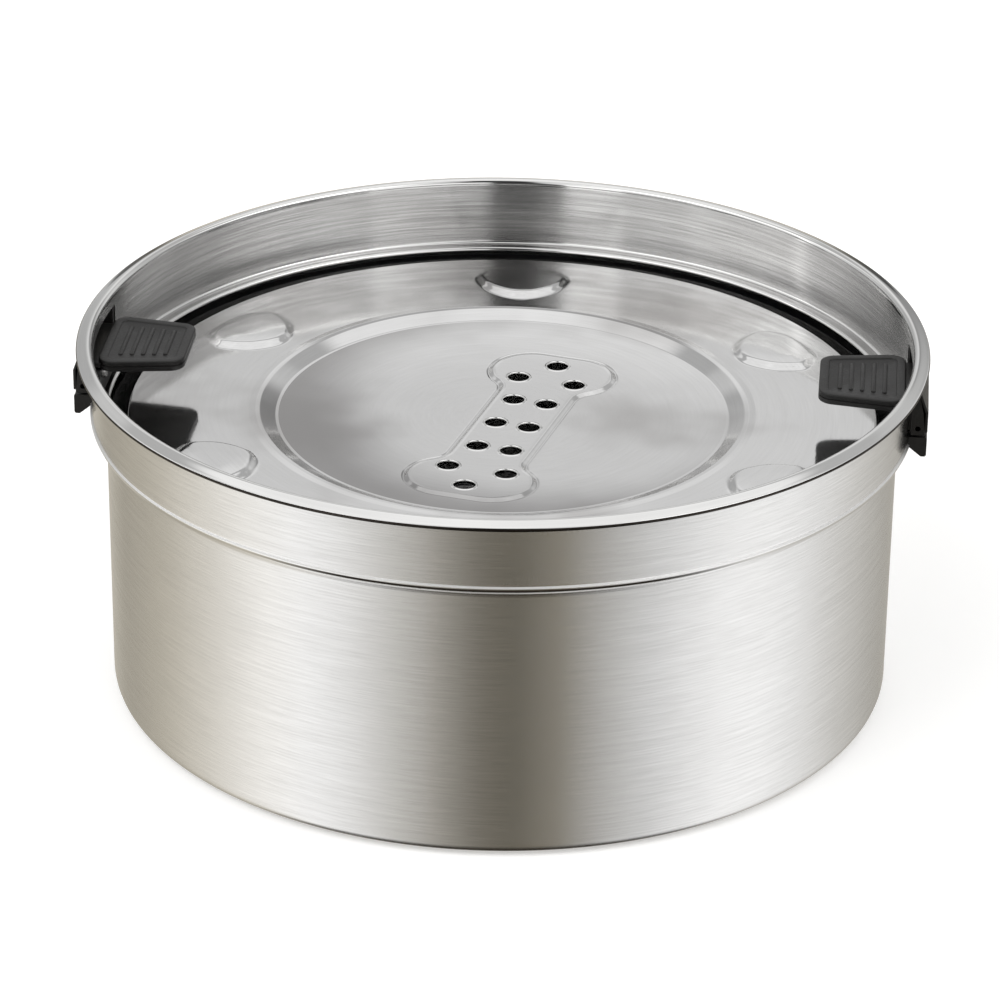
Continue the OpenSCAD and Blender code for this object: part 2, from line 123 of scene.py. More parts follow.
# Makes a mesh object from corners in millimetres; a face whose last two numbers are equal is a
# triangle, and edges sharper than the angle in degrees stay sharp
def makePiece(name, corners, faces, sharp):
    mesh = bpy.data.meshes.new(name)
    isTriangle = faces[:, 2] == faces[:, 3]
    keep = np.ones(faces.shape, bool)
    keep[isTriangle, 3] = False
    loops = faces[keep].astype(np.int32)
    sizes = np.where(isTriangle, 3, 4)
    starts = np.concatenate(([0], np.cumsum(sizes)[:-1])).astype(np.int32)
    mesh.vertices.add(len(corners))
    mesh.vertices.foreach_set("co", (corners * mm).astype(np.float32).ravel())
    mesh.loops.add(len(loops))
    mesh.loops.foreach_set("vertex_index", loops)
    mesh.polygons.add(len(faces))
    mesh.polygons.foreach_set("loop_start", starts)
    mesh.update(calc_edges=True)
    mesh.validate()
    mesh.shade_smooth()
    mesh.set_sharp_from_angle(angle=math.radians(sharp))
    piece = bpy.data.objects.new(name, mesh)
    bpy.context.scene.collection.objects.link(piece)
    return piece


# Turns a closed profile that starts and ends on the axis: corner numbers by row and column, places,
# and the fans round its two poles
def turned(profile, angles):
    ring = np.stack((np.cos(angles), np.sin(angles)), -1)
    body = profile[1:-1]
    places = np.empty((len(body), len(angles), 3))
    places[..., 0] = body[:, :1] * ring[:, 0]
    places[..., 1] = body[:, :1] * ring[:, 1]
    places[..., 2] = body[:, 1:2]
    ids = np.arange(len(body) * len(angles)).reshape(len(body), -1)
    poles = np.array([[0, 0, profile[0, 1]], [0, 0, profile[-1, 1]]])
    return ids, np.vstack((places.reshape(-1, 3), poles)), endFans(ids)


bowl = {"band": 120.8, "body": 116.7, "shoulder": 85.8, "floor": 3.2, "recess": 110.7, "recessSlope": 2,
        "standing": 0.8, "sheet": 0.8, "edgeSheet": 0.62, "thinning": (1.2, 2), "roll": 0.08,
        "rollMiddle": (124.26, 106.66), "rollTurn": (74.5, -150), "rollSteps": 18, "bead": 0.55,
        "lowerBead": (-3.7, -2.35, -1.6), "lowerShare": 0.8, "upperBead": (1.0, 1.3, 1.7), "ledgeOut": 0.1,
        "rounds": (0, 1.2, 1.2, 3, 1.2, 0.12, 0.15, 1.5, 0.2, 0.1, 0.12, 0.25, 0.8, 0),
        "insideStep": (-4.1, 1.9), "insideRound": 0.9, "turnStep": 14, "longest": 12,
        "window": (17.9, 91.0, 103.6), "columns": 330, "sharp": 40}
# Where each finish of the bowl begins and ends, in millimetres from the rim, the step or the roll
bowlFinish = {"rimDown": 0.3, "rimOut": 1, "stepIn": 1, "stepMiddle": 0.4, "stepHalf": 2.4,
              "bead": (-2.35, 1.75), "beadOut": 0.03, "beadUpward": 0.25,
              "ledge": (0.1, 1.4), "ledgeHalf": 0.05, "rollIn": 0.1, "rollSlope": 0.7}


# Outer face from the middle of the base to the end of the rim's roll, and the inner face a sheet's
# thickness to its left, joined at the roll's end. The sheet thins towards the rim. At the step the
# inner face leaves the two beads out and turns through two plain bends.
def bowlProfile(s):
    rollFrom, rollTo = s["rollTurn"]
    across, height = s["rollMiddle"]
    turn = math.radians(rollFrom)
    rollFirst = (across + s["roll"] * math.cos(turn), height + s["roll"] * math.sin(turn))
    bead, low, body, band = s["bead"], s["shoulder"], s["body"], s["band"]
    lip = rollFirst[1] - (rollFirst[0] - band) * math.tan(math.radians(rollFrom - 90))
    foot, crest, end = s["lowerBead"]
    start, top, close = s["upperBead"]
    corners = [(0, s["floor"]), (s["recess"] - s["recessSlope"], s["floor"]), (s["recess"], s["standing"]),
               (body, s["standing"]), (body, low + foot), (body + s["lowerShare"] * bead, low + crest),
               (body, low + end), (body, low), (band + s["ledgeOut"], low), (band + bead, low + start),
               (band + bead, low + top), (band, low + close), (band, lip), rollFirst]
    path = roundedPath(corners, s["rounds"], s["turnStep"])
    sill, head = s["window"][1:]
    cut = np.flatnonzero((path[:-1, 1] < sill) & (path[1:, 1] > head))[0] + 1
    path = np.insert(path, cut, [[band, sill], [band, head]], axis=0)
    roll = arcPoints(s["rollMiddle"], s["roll"], rollFrom, rollTo, s["rollSteps"])
    path = refined(np.vstack((path, roll[1:])), s["longest"])
    thinFrom, thinOver = s["thinning"]
    thin = np.clip((path[:, :1] - band - thinFrom) / thinOver, 0, 1)
    inner = path + leftNormals(path) * (s["sheet"] - (s["sheet"] - s["edgeSheet"]) * thin)
    inner[:, 0] = np.maximum(inner[:, 0], 0)
    first, last = low + s["insideStep"][0], low + s["insideStep"][1]
    onStep = (path[:, 1] > first) & (path[:, 1] < last)
    innerBody, innerBand, ledge = body - s["sheet"], band - s["sheet"], low + s["sheet"]
    bend = s["insideRound"]
    curve = roundedPath([(innerBody, first), (innerBody, ledge), (innerBand, ledge), (innerBand, last)],
                        (0, bend, bend, 0), s["turnStep"])
    inner[onStep] = evenly(curve, onStep.sum())
    return path, inner


# Finish of each face of the bowl, by where its middle lies: 0 outside, 1 the rim and the step,
# 2 inside, 3 the upper sides of the two beads, with a painted highlight, 4 the flat ledge inside,
# painted darker as shade, 5 the underside of the roll, painted near black as shade
def bowlIndex(s, edges, corners, inside):
    middle = corners.mean(1)
    across, height = np.hypot(middle[:, 0], middle[:, 1]), middle[:, 2]
    rollAcross, rollHeight = s["rollMiddle"]
    onRim = (height > rollHeight - edges["rimDown"]) | (across > s["band"] + edges["rimOut"])
    fromStep = np.abs(height - s["shoulder"] + edges["stepMiddle"])
    onStep = (across > s["body"] - edges["stepIn"]) & (fromStep < edges["stepHalf"])
    first, last = edges["bead"]
    onBead = (height > s["shoulder"] + first) & (height < s["shoulder"] + last)
    onBead &= across > s["body"] + edges["beadOut"]
    normal = np.cross(corners[:, 1] - corners[:, 0], corners[:, 2] - corners[:, 0])
    upward = normal[:, 2] / np.maximum(np.linalg.norm(normal, axis=1), 1e-12)
    first, last = edges["ledge"]
    onLedge = (across > s["body"] + first) & (across < s["band"] - last)
    onLedge &= np.abs(height - s["shoulder"] - s["sheet"]) < edges["ledgeHalf"]
    underRoll = across > rollAcross - edges["rollIn"]
    underRoll &= height - rollHeight < (across - rollAcross) * edges["rollSlope"]
    index = np.where(inside, 2, 0).astype(np.int32)
    index[onRim | onStep] = 1
    # painted highlight on the upper sides of the beads, with a real satin roughness
    index[onBead & (upward > edges["beadUpward"]) & ~inside] = 3
    # painted shade on the flat ledge inside
    index[onLedge] = 4
    # painted shade under the roll
    index[underRoll] = 5
    return index


# The profile turned round the axis. The cells of the two windows are left out of both faces, and
# four strips of faces close the sheet round each window.
def makeBowl(s):
    outer, inner = bowlProfile(s)
    angles = np.linspace(0, 2 * math.pi, s["columns"], endpoint=False)
    half = math.asin(s["window"][0] / (s["band"] - s["sheet"] / 2))
    edges = np.array([half, math.pi - half, math.pi + half, 2 * math.pi - half])
    near = np.abs(angles[:, None] - edges).argmin(0)
    angles[near] = edges
    profile = np.vstack((outer, inner[::-1]))
    ids, places, fans = turned(profile, angles)
    rows, columns = ids.shape
    cells = gridFaces(ids, wrap=True)
    across, height = profile[1:-1].T
    slack = 0.01
    onBand = (across > s["band"] - s["sheet"] - slack) & (across < s["band"] + slack)
    low, high = s["window"][1:]
    inWindow = onBand & (height > low - slack) & (height < high + slack)
    a, b = np.flatnonzero(inWindow & (np.arange(rows) < len(outer) - 1))[[0, -1]]
    mirror = 2 * len(outer) - 3        # the inner face's row for outer row i is mirror - i
    keep = np.ones((rows - 1, columns), bool)
    reveals = []
    for first, last in ((near[3] - columns, near[0]), (near[1], near[2])):
        span = np.arange(first, last) % columns
        keep[a:b, span] = False
        keep[mirror - b:mirror - a, span] = False
        nextSpan = (span + 1) % columns
        up = np.arange(a, b)
        left, right = first % columns, last % columns
        o, i = ids, ids[mirror - np.arange(rows)]
        reveals += [
            np.stack((o[a, span], o[a, nextSpan], i[a, nextSpan], i[a, span]), -1),
            np.stack((o[b, nextSpan], o[b, span], i[b, span], i[b, nextSpan]), -1),
            np.stack((o[up + 1, left], o[up, left], i[up, left], i[up + 1, left]), -1),
            np.stack((o[up, right], o[up + 1, right], i[up + 1, right], i[up, right]), -1)]
    faces = np.vstack([cells[keep], fans] + reveals)
    cellRow = np.repeat(np.arange(rows - 1)[:, None], columns, 1)[keep]
    inside = np.zeros(len(faces), bool)
    inside[:len(cellRow)] = cellRow >= len(outer) - 1
    piece = makePiece("bowl_sheet", places, faces, s["sharp"])
    index = bowlIndex(s, bowlFinish, places[faces], inside)
    piece.data.polygons.foreach_set("material_index", index)
    return piece


bowlPiece = makeBowl(bowl)
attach(bowlPiece, "bowl")
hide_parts("bowl_shell")
print("bowl made:", len(bowlPiece.data.polygons), "faces")


disk = {"top": 84.9, "edge": 110.6, "sheet": 0.5, "slopeTop": 72.6, "dish": 67.1, "drop": 2.0, "sag": 1.4,
        "hem": 3.1, "hemEnd": 107.2, "edgeRound": 0.8, "seam": 66.2, "curl": 3.4,
        "crest": ((-1, -0.1), (0.3, 0.12), (2.4, 0)), "rounds": (0.9, 1.6, 1.2, 6), "turnStep": 10,
        "longest": 0.5, "foldIn": (1.2, 0.7, 0.5), "foldUp": 0.9, "foldDown": (1.4, 0.7), "sharp": 40}
boss = {"count": 6, "turn": 91.6, "at": 93.6, "height": 1.5, "side": 1.9, "crown": 0.2, "crownSide": 8,
        "columns": 66, "between": 36, "halfTurn": 9.6, "spare": 1.02, "from": 3, "to": 106,
        "topDepth": 0.3, "pressed": 0.2,
        "foot": ((-13.9, 3.6), (-8.4, 11.4), (-0.6, 14.9), (1.2, 14.9), (5.6, 12.4), (9.2, 7.6))}
bone = {"turn": 77.0, "length": 102.0, "end": 37.6, "shank": 22.6, "neckRound": 8.0, "slide": -5.6,
        "side": 5.0, "height": 0.5, "slope": 0.6, "groove": 0.22, "grooveAt": 0.85, "rise": 0.08,
        "riseAt": 0.8, "spread": 0.35, "strip": 1.8, "stripRows": 19, "rings": 16, "columns": 640,
        "across": 78, "arcSteps": (200, 80)}
hole = {"d": 6.2, "lip": 0.62, "lipHeight": 0.24, "lipAt": (0.85, 0.7, 0.5, 0.3, 0.12, 0.0),
        "lipShape": (0.35, 0.8, 1.0, 0.85, 0.2, -1.1), "border": 0.35, "rings": 5, "block": 4.3,
        "far": 43.6, "pair": 32.5, "row": 16.9, "wide": 17.6, "narrow": 10.3}


# Height of the dish: a shallow bowl that is flatter in its middle and turns up towards its edge
def dishHeight(r):
    return disk["top"] - disk["drop"] - disk["sag"] * (1 - (r / disk["dish"]) ** disk["curl"])


# An S-shaped rise from 0 to 1: three times the square less twice the cube
def smoothStep(x):
    x = np.clip(x, 0, 1)
    return x * x * (3 - 2 * x)


# A closed outline with its corners cut three times, so that its straight sides run into each other:
# each side keeps its middle, and its two ends move in by a share of its length
def softened(outline, share=0.22):
    for _ in range(3):
        after = np.roll(outline, -1, axis=0)
        outline = np.stack(((1 - share) * outline + share * after,
                            share * outline + (1 - share) * after), 1).reshape(-1, 2)
    return outline


# Distance from each point to a closed outline, and whether the point is inside it: a line to the
# right from a point inside crosses the outline an odd number of times
def outlineDistance(points, outline):
    a, b = outline, np.roll(outline, -1, axis=0)
    d = b - a
    rel = points[:, None] - a
    t = np.clip((rel * d).sum(-1) / (d * d).sum(-1), 0, 1)
    distance = np.linalg.norm(rel - t[..., None] * d, axis=-1).min(1)
    crosses = (a[:, 1] > points[:, None, 1]) != (b[:, 1] > points[:, None, 1])
    dy = np.where(d[:, 1] == 0, 1, d[:, 1])
    where = a[:, 0] + (points[:, None, 1] - a[:, 1]) * d[:, 0] / dy
    inside = (crosses & (points[:, None, 0] < where)).sum(1) % 2 == 1
    return distance, inside


# Height of a boss over the land: an S-shaped side that rises within a few millimetres of its foot,
# then a low crown
def bossHeight(out, across):
    points = np.stack((out.ravel(), across.ravel()), -1)
    side = np.array(boss["foot"])
    foot = softened(np.vstack((side, side[::-1] * (1, -1))) + (boss["at"], 0))
    distance, inside = outlineDistance(points, foot)
    lift = (boss["height"] * smoothStep(distance / boss["side"])
            + boss["crown"] * smoothStep(distance / boss["crownSide"]))
    return np.where(inside, lift, 0).reshape(out.shape)


# The land: a path from the dish's seam up the slope, over the flat, round the folded edge and back
# underneath, turned round the axis, with the bosses added to its height
def makeLand():
    top, edge, r, sheet = disk["top"], disk["edge"], disk["edgeRound"], disk["sheet"]
    seamHeight, low = float(dishHeight(disk["seam"])), top - disk["hem"]
    crest = [(disk["slopeTop"] + a, top + b) for a, b in disk["crest"]]
    corners = [(disk["seam"], seamHeight), (disk["dish"], top - disk["drop"]), *crest, (edge, top),
               (edge, low), (disk["hemEnd"], low)]
    path = refined(roundedPath(corners, (0, *disk["rounds"], r, r, 0), disk["turnStep"]), disk["longest"])
    far, mid, near = disk["foldIn"]
    deep, shallow = disk["foldDown"]
    under = np.array([(disk["hemEnd"], low + sheet), (edge - far, low + sheet),
                      (edge - mid, low + disk["foldUp"]), (edge - near, top - deep),
                      (edge - mid, top - shallow), (edge - far, top - sheet),
                      (disk["slopeTop"] + 1, top - sheet), (disk["dish"], top - disk["drop"] - sheet),
                      (disk["seam"], seamHeight - sheet)])
    profile = np.vstack((path, under))
    half = math.radians(boss["halfTurn"])
    step = 2 * math.pi / boss["count"]
    pattern = np.concatenate((np.linspace(-half, half, boss["columns"], endpoint=False),
                              np.linspace(half, step - half, boss["between"], endpoint=False)))
    angles = (math.radians(boss["turn"]) + np.arange(boss["count"])[:, None] * step + pattern).ravel()
    rows, columns = len(profile), len(angles)
    radius = np.repeat(profile[:, :1], columns, 1)
    height = np.repeat(profile[:, 1:], columns, 1)
    places = np.stack((radius * np.cos(angles), radius * np.sin(angles), height), -1)
    local = (angles - math.radians(boss["turn"]) + step / 2) % step - step / 2
    out, across = radius * np.cos(local), radius * np.sin(local)
    onTop = (np.arange(rows)[:, None] < len(path)) & (height > top - boss["topDepth"])
    raised = onTop & (radius > disk["slopeTop"] + boss["from"]) & (radius < boss["to"])
    raised &= np.abs(local) < half * boss["spare"]
    lift = np.zeros(radius.shape)
    lift[raised] = bossHeight(out[raised], across[raised])
    for _ in range(2):        # presses the creases slightly round
        lift[1:-1] += boss["pressed"] * (lift[2:] + lift[:-2] - 2 * lift[1:-1])
        lift += boss["pressed"] * (np.roll(lift, 1, 1) + np.roll(lift, -1, 1) - 2 * lift)
    lift[len(path):] = 0
    places[..., 2] += lift
    ids = np.arange(rows * columns).reshape(rows, columns)
    ring = np.vstack((ids, ids[:1]))
    faces = gridFaces(ring, wrap=True).reshape(-1, 4)[:, ::-1]
    return makePiece("disk_land", places.reshape(-1, 3), faces, disk["sharp"])


# Outline of the bone, moved out by the offset: the flat end, the knob's arc, the neck's fillet and
# the straight shank of one quarter, mirrored three times, at equal steps along it
def boneOutline(offset):
    knob = bone["end"] / 3
    knobAt = np.array([bone["length"] / 2 - knob, bone["end"] / 2 - knob])
    r, half = bone["neckRound"], bone["shank"] / 2
    fillet = np.array([knobAt[0] - math.sqrt((knob + r) ** 2 - (half + r - knobAt[1]) ** 2), half + r])
    turn = math.degrees(math.atan2(fillet[1] - knobAt[1], fillet[0] - knobAt[0]))
    onKnob, onNeck = bone["arcSteps"]
    knobArc = arcPoints(knobAt, knob + offset, 0, turn, onKnob)
    neckArc = arcPoints(fillet, r - offset, turn - 180, -90, onNeck)
    quarter = np.vstack(([[bone["length"] / 2 + offset, 0]], knobArc, neckArc, [[0, half + offset]]))
    even = evenly(quarter, bone["columns"] // 4 + 1)
    left = even[:-1][::-1] * (-1, 1)
    upper = np.vstack((even, left))
    return np.vstack((upper[:-1], upper[1:][::-1] * (1, -1)))


# Turns places along and across the bone into places on the disk
def fromBone(along, across):
    a = math.radians(bone["turn"])
    x, y = along + bone["slide"], across - bone["side"]
    return x * math.cos(a) - y * math.sin(a), x * math.sin(a) + y * math.cos(a)


# A bell-shaped height along the offsets: e to the minus square of the distance over the spread
def bell(offsets, at):
    return np.exp(-((offsets - at) / bone["spread"]) ** 2)


# One hole: rows and columns of the grid that it takes away, the border of that block, and rings from
# the border over the raised lip down into the hole, each with its height
def holeRings(grid, place):
    inside = np.abs(grid - place).max(-1) < hole["block"]
    i0, i1 = np.flatnonzero(inside.any(1))[[0, -1]]
    j0, j1 = np.flatnonzero(inside.any(0))[[0, -1]]
    long, wide = i1 - i0, j1 - j0
    i = np.concatenate((np.arange(i0, i1), np.full(wide, i1), np.arange(i1, i0, -1), np.full(wide, i0)))
    j = np.concatenate((np.full(long, j0), np.arange(j0, j1), np.full(long, j1), np.arange(j1, j0, -1)))
    border = grid[i, j]
    direction = border - place
    direction /= np.linalg.norm(direction, axis=1)[:, None]
    r = hole["d"] / 2
    rim = place + direction * (r + hole["lip"] + hole["border"])
    share = np.linspace(0, 1, hole["rings"] + 1)[1:, None, None]
    lipAt, lipShape = np.array(hole["lipAt"]), np.array(hole["lipShape"])
    lip = place + direction * (r + lipAt * hole["lip"])[:, None, None]
    lift = np.concatenate((np.zeros(hole["rings"]), lipShape * hole["lipHeight"])) + bone["height"]
    return np.s_[i0:i1, j0:j1], (i, j), np.concatenate((border * (1 - share) + rim * share, lip)), lift


# Middles of the twelve holes, along and across the bone: one at each end, a pair beside each of
# those, and three pairs along the shank
def holePlaces():
    ends, sides = (-1, 1), (-1, 1)
    places = [(s * hole["far"], 0.0) for s in ends]
    places += [(s * hole["pair"], t * hole["wide"] / 2) for s in ends for t in sides]
    return places + [(s * hole["row"], t * hole["narrow"] / 2) for s in (-1, 0, 1) for t in sides]


# The dish: inside the bone a grid stretched between the four sides of its outline, a strip that
# carries the raised edge, and outside it rings that change from the bone's outline to a circle.
# Round each hole a block of the grid gives way to rings that change from its border to a circle.
def makeDish():
    n, across = bone["columns"], bone["across"]
    along = n // 2 - across
    offsets = np.linspace(-bone["strip"], bone["strip"], bone["stripRows"])
    strip = np.stack([boneOutline(d) for d in offsets])
    stripLift = (bone["height"] * (1 - smoothStep((offsets / bone["slope"] + 1) / 2))
                 - bone["groove"] * bell(offsets, bone["grooveAt"])
                 + bone["rise"] * bell(offsets, -bone["riseAt"]))
    angle = np.linspace(0, 2 * math.pi, n, endpoint=False)
    centre = np.array([-bone["slide"], bone["side"]])
    circle = centre + disk["seam"] * np.stack((np.cos(angle), np.sin(angle)), -1)
    share = np.linspace(0, 1, bone["rings"] + 1)[1:, None, None]
    outside = strip[-1] * (1 - share) + circle * share
    ringsFlat = np.concatenate((strip, outside))
    ringLift = np.concatenate((stripLift, np.zeros(len(outside))))
    ringIds = np.arange(ringsFlat.shape[0] * n).reshape(-1, n)
    points = [ringsFlat.reshape(-1, 2)]
    lifts = [np.repeat(ringLift, n)]
    faces = [gridFaces(ringIds, wrap=True).reshape(-1, 4)[:, ::-1]]
    finish = [np.zeros(len(faces[0]), np.int32)]

    # the inside grid's four sides, from its lower right corner anticlockwise
    corner = np.cumsum([-(across // 2), across, along, across, along])
    sides = [np.arange(first, last + 1) % n for first, last in zip(corner[:-1], corner[1:])]
    right, top, left, bottom = (strip[0][side] for side in sides)
    u = np.linspace(0, 1, along + 1)[:, None, None]      # from the left end to the right end
    v = np.linspace(0, 1, across + 1)[None, :, None]     # from the lower side to the upper side
    low, high, west, east = bottom[:, None], top[::-1][:, None], left[::-1][None], right[None]
    grid = ((1 - v) * low + v * high + (1 - u) * west + u * east
            - ((1 - u) * (1 - v) * low[0] + u * (1 - v) * low[-1] + (1 - u) * v * high[0] + u * v * high[-1]))
    gridIds = np.full(grid.shape[:2], -1)
    gridIds[-1, :] = ringIds[0, sides[0]]
    gridIds[:, -1] = ringIds[0, sides[1]][::-1]
    gridIds[0, :] = ringIds[0, sides[2]][::-1]
    gridIds[:, 0] = ringIds[0, sides[3]]
    free = gridIds < 0
    total = ringIds.size
    gridIds[free] = total + np.arange(free.sum())
    total += free.sum()
    points.append(grid[free])
    lifts.append(np.full(free.sum(), bone["height"]))

    keep = np.ones((along, across), bool)
    walls = []
    for place in holePlaces():
        block, border, rings, lift = holeRings(grid, place)
        keep[block] = False
        count = rings.shape[1]
        ids = total + np.arange(rings.shape[0] * count).reshape(-1, count)
        total += ids.size
        points.append(rings.reshape(-1, 2))
        lifts.append(np.repeat(lift, count))
        around = gridFaces(np.vstack((gridIds[border][None], ids)), wrap=True)
        faces.append(around.reshape(-1, 4))
        finish.append(np.repeat((np.arange(len(around)) >= hole["rings"]).astype(np.int32), count))
        walls.append(ids[-1])
    faces.append(gridFaces(gridIds).reshape(-1, 4)[keep.ravel()][:, ::-1])
    finish.append(np.zeros(len(faces[-1]), np.int32))

    flatPlaces = np.vstack(points)
    x, y = fromBone(flatPlaces[:, 0], flatPlaces[:, 1])
    z = dishHeight(np.hypot(x, y)) + np.concatenate(lifts)
    upper = np.stack((x, y, z), -1)
    lower = upper - (0, 0, disk["sheet"])
    faces = np.vstack(faces)
    joined = [faces, faces[:, ::-1] + total]
    for loop in walls:        # the sheet's edge in each hole
        after = np.roll(loop, -1)
        joined.append(np.stack((loop, after, after + total, loop + total), -1))
    rim, after = ringIds[-1], np.roll(ringIds[-1], -1)
    joined.append(np.stack((after, rim, rim + total, after + total), -1))
    joined = np.vstack(joined)
    piece = makePiece("disk_dish", np.vstack((upper, lower)), joined, disk["sharp"])
    index = np.zeros(len(joined), np.int32)
    upperFinish = np.concatenate(finish)
    index[:len(upperFinish)] = upperFinish
    index[2 * len(upperFinish):-n] = 1
    piece.data.polygons.foreach_set("material_index", index)
    return piece


landPiece, dishPiece = makeLand(), makeDish()
for piece in (landPiece, dishPiece):
    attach(piece, "float")
    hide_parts("float_disk")
print("disk made:", len(landPiece.data.polygons), "and", len(dishPiece.data.polygons), "faces")


lever = {"reach": 93.0, "root": 118.2, "tipWidth": 27.0, "rootWidth": 34.8, "corner": 4.6, "top": 100.4,
         "thick": 3.2, "edgeRound": 0.45, "groove": ((0, 1.5), (0.3, 1.62), (0.3, 1.88), (0, 2.0)),
         "panel": 2.7, "panelDepth": 0.35, "panelEdge": (0.3, 0.1, 0.05), "ribs": 5, "ribWidth": 1.3,
         "ribInset": 3.4, "ribEnd": 5.4, "ribWiden": 0.12, "ribRound": 0.9,
         "ribLevels": ((0, -0.1), (0, 0.14), (0.12, 0.28), (0.35, 0.34)), "arm": (113.5, 123.4, 14.6),
         "armTop": 99.0, "armSink": 0.1, "armCorner": 0.8, "armRound": 0.3, "face": 125.0, "plate": 1.0,
         "width": 35.2, "plateLow": 91.4, "plateBend": 97.6, "plateHigh": 103.6, "lean": 2.2,
         "plateCorner": 0.35, "plateRound": 0.25, "pin": (122.2, 92.6), "cheek": 1.8, "cheekInner": 119.0,
         "cheekFoot": 2.2, "cheekInset": 2, "cheekBend": ((97.2, 120.2), 98.2), "cheekCorner": 0.5,
         "cheekUnder": (0.3, 0.6, 0.3), "stop": ((120.9, 122.0), (0.9, 2.7), (-2.2, 0.2), 0.3), "sharp": 36}


# A closed outline with its corners turned into arcs, listed anticlockwise from the middle of a side
def roundedOutline(points, radius, turnStep=12.0):
    start = (np.array(points[0], float) + points[-1]) / 2
    return roundedPath([start, *points, start], [0] + [radius] * len(points) + [0], turnStep)[:-1]


# A rectangle between two places on each axis, anticlockwise, with rounded corners
def roundedBox(x, y, radius):
    return roundedOutline([(x[0], y[0]), (x[1], y[0]), (x[1], y[1]), (x[0], y[1])], radius)


# A slab: its outline, moved in by the first number and set at the height of the second, level by
# level, with a fan over each end; order says which axis each of the three numbers is
def slab(outline, levels, order=(0, 1, 2)):
    side = np.roll(outline, -1, axis=0) - np.roll(outline, 1, axis=0)
    inward = np.stack((-side[:, 1], side[:, 0]), -1) / np.linalg.norm(side, axis=1)[:, None]
    levels = np.array(levels, float)
    flat = outline + inward * levels[:, :1, None]
    places = np.concatenate((flat, np.broadcast_to(levels[:, 1][:, None, None], (*flat.shape[:2], 1))), -1)
    ids = np.arange(flat.shape[0] * flat.shape[1]).reshape(flat.shape[:2])
    centre = outline.mean(0)
    ends = np.array([(*centre, levels[0, 1]), (*centre, levels[-1, 1])])
    faces = np.concatenate((gridFaces(ids, wrap=True).reshape(-1, 4), endFans(ids)))
    return np.vstack((places.reshape(-1, 3), ends))[:, np.argsort(order)], faces


# Levels of a slab with both edges rounded by the radius r
def softLevels(low, high, r):
    t = np.radians(np.linspace(0, 90, 5))
    lower = np.stack((r * (1 - np.sin(t)), low + r * (1 - np.cos(t))), -1)
    return np.vstack((lower, np.stack((r * (1 - np.cos(t)), high - r * (1 - np.sin(t))), -1)))


# The tab with a groove round its side and a sunk panel with ribs, the arm through the window, the
# outer plate that leans in over its bend, its two cheeks, and the stop that meets the spring's leg.
# Plate and cheeks are drawn from the side, as height and place along X.
def makeLever(name, turn, s):
    tip, root = s["tipWidth"] / 2, s["rootWidth"] / 2
    tabPlan = roundedOutline([(s["reach"], -tip), (s["root"], -root), (s["root"], root), (s["reach"], tip)],
                             s["corner"], 8)
    top, low = s["top"], s["top"] - s["thick"]
    edge = softLevels(low, top, s["edgeRound"])
    groove = [(inset, low + up) for inset, up in s["groove"]]
    panelAt, deep = s["panel"], top - s["panelDepth"]
    wide, narrow, soft = s["panelEdge"]
    panel = [(panelAt - wide, top), (panelAt - narrow, top - soft), (panelAt + narrow, deep + soft),
             (panelAt + wide, deep)]
    half = len(edge) // 2
    shells = [slab(tabPlan, np.vstack((edge[:half], groove, edge[half:], panel)))]
    inset, half = panelAt + s["ribInset"], s["ribWidth"] / 2
    for x in np.linspace(s["reach"] + inset, s["root"] - inset, s["ribs"]):
        length = tip - s["ribEnd"] + (x - s["reach"]) * s["ribWiden"]
        rib = roundedBox((x - half, x + half), (-length, length), half * s["ribRound"])
        shells.append(slab(rib, [(inset, deep + up) for inset, up in s["ribLevels"]]))
    x0, x1, w = s["arm"]
    shells.append(slab(roundedBox((x0, x1), (-w, w), s["armCorner"]),
                       softLevels(low + s["armSink"], s["armTop"], s["armRound"])))
    w, face, back = s["width"] / 2, s["face"], s["face"] - s["plate"]
    high, bend, lean = s["plateHigh"], s["plateBend"], s["lean"]
    plate = roundedOutline([(s["plateLow"], face), (s["plateLow"], back), (bend, back), (high, back - lean),
                            (high, face - lean), (bend, face)], s["plateCorner"])
    sideways = (2, 0, 1)
    shells.append(slab(plate, softLevels(-w, w, s["plateRound"]), sideways))
    px, pz = s["pin"]
    foot, inner = pz - s["cheekFoot"], s["cheekInner"]
    lowBend, highBend = s["cheekBend"]
    under, behind, into = s["cheekUnder"]
    cheek = roundedOutline([(foot, px - s["cheekInset"]), lowBend, (highBend, inner), (high - under, inner),
                            (high - under, face - lean - behind), (bend, back + into),
                            (foot, px + s["cheekFoot"])], s["cheekCorner"])
    for y in (-w, w - s["cheek"]):
        shells.append(slab(cheek, softLevels(y, y + s["cheek"], s["plateRound"]), sideways))
    x, y, ends, corner = s["stop"]
    shells.append(slab(roundedBox(x, y, corner), [(0, low + end) for end in ends]))
    starts = np.cumsum([0] + [len(p) for p, _ in shells])
    places = np.vstack([p for p, _ in shells]) * (turn, turn, 1)
    faces = np.vstack([f + k for (_, f), k in zip(shells, starts)])
    return makePiece(name, places, faces, s["sharp"])


leverPieces = {}
for side, turn in (("right", 1), ("left", -1)):
    piece = leverPieces[side] = makeLever(f"lever_{side}_moulding", turn, lever)
    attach(piece, f"lever_{side}")
    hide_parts(f"lever_{side}")
print("levers made")


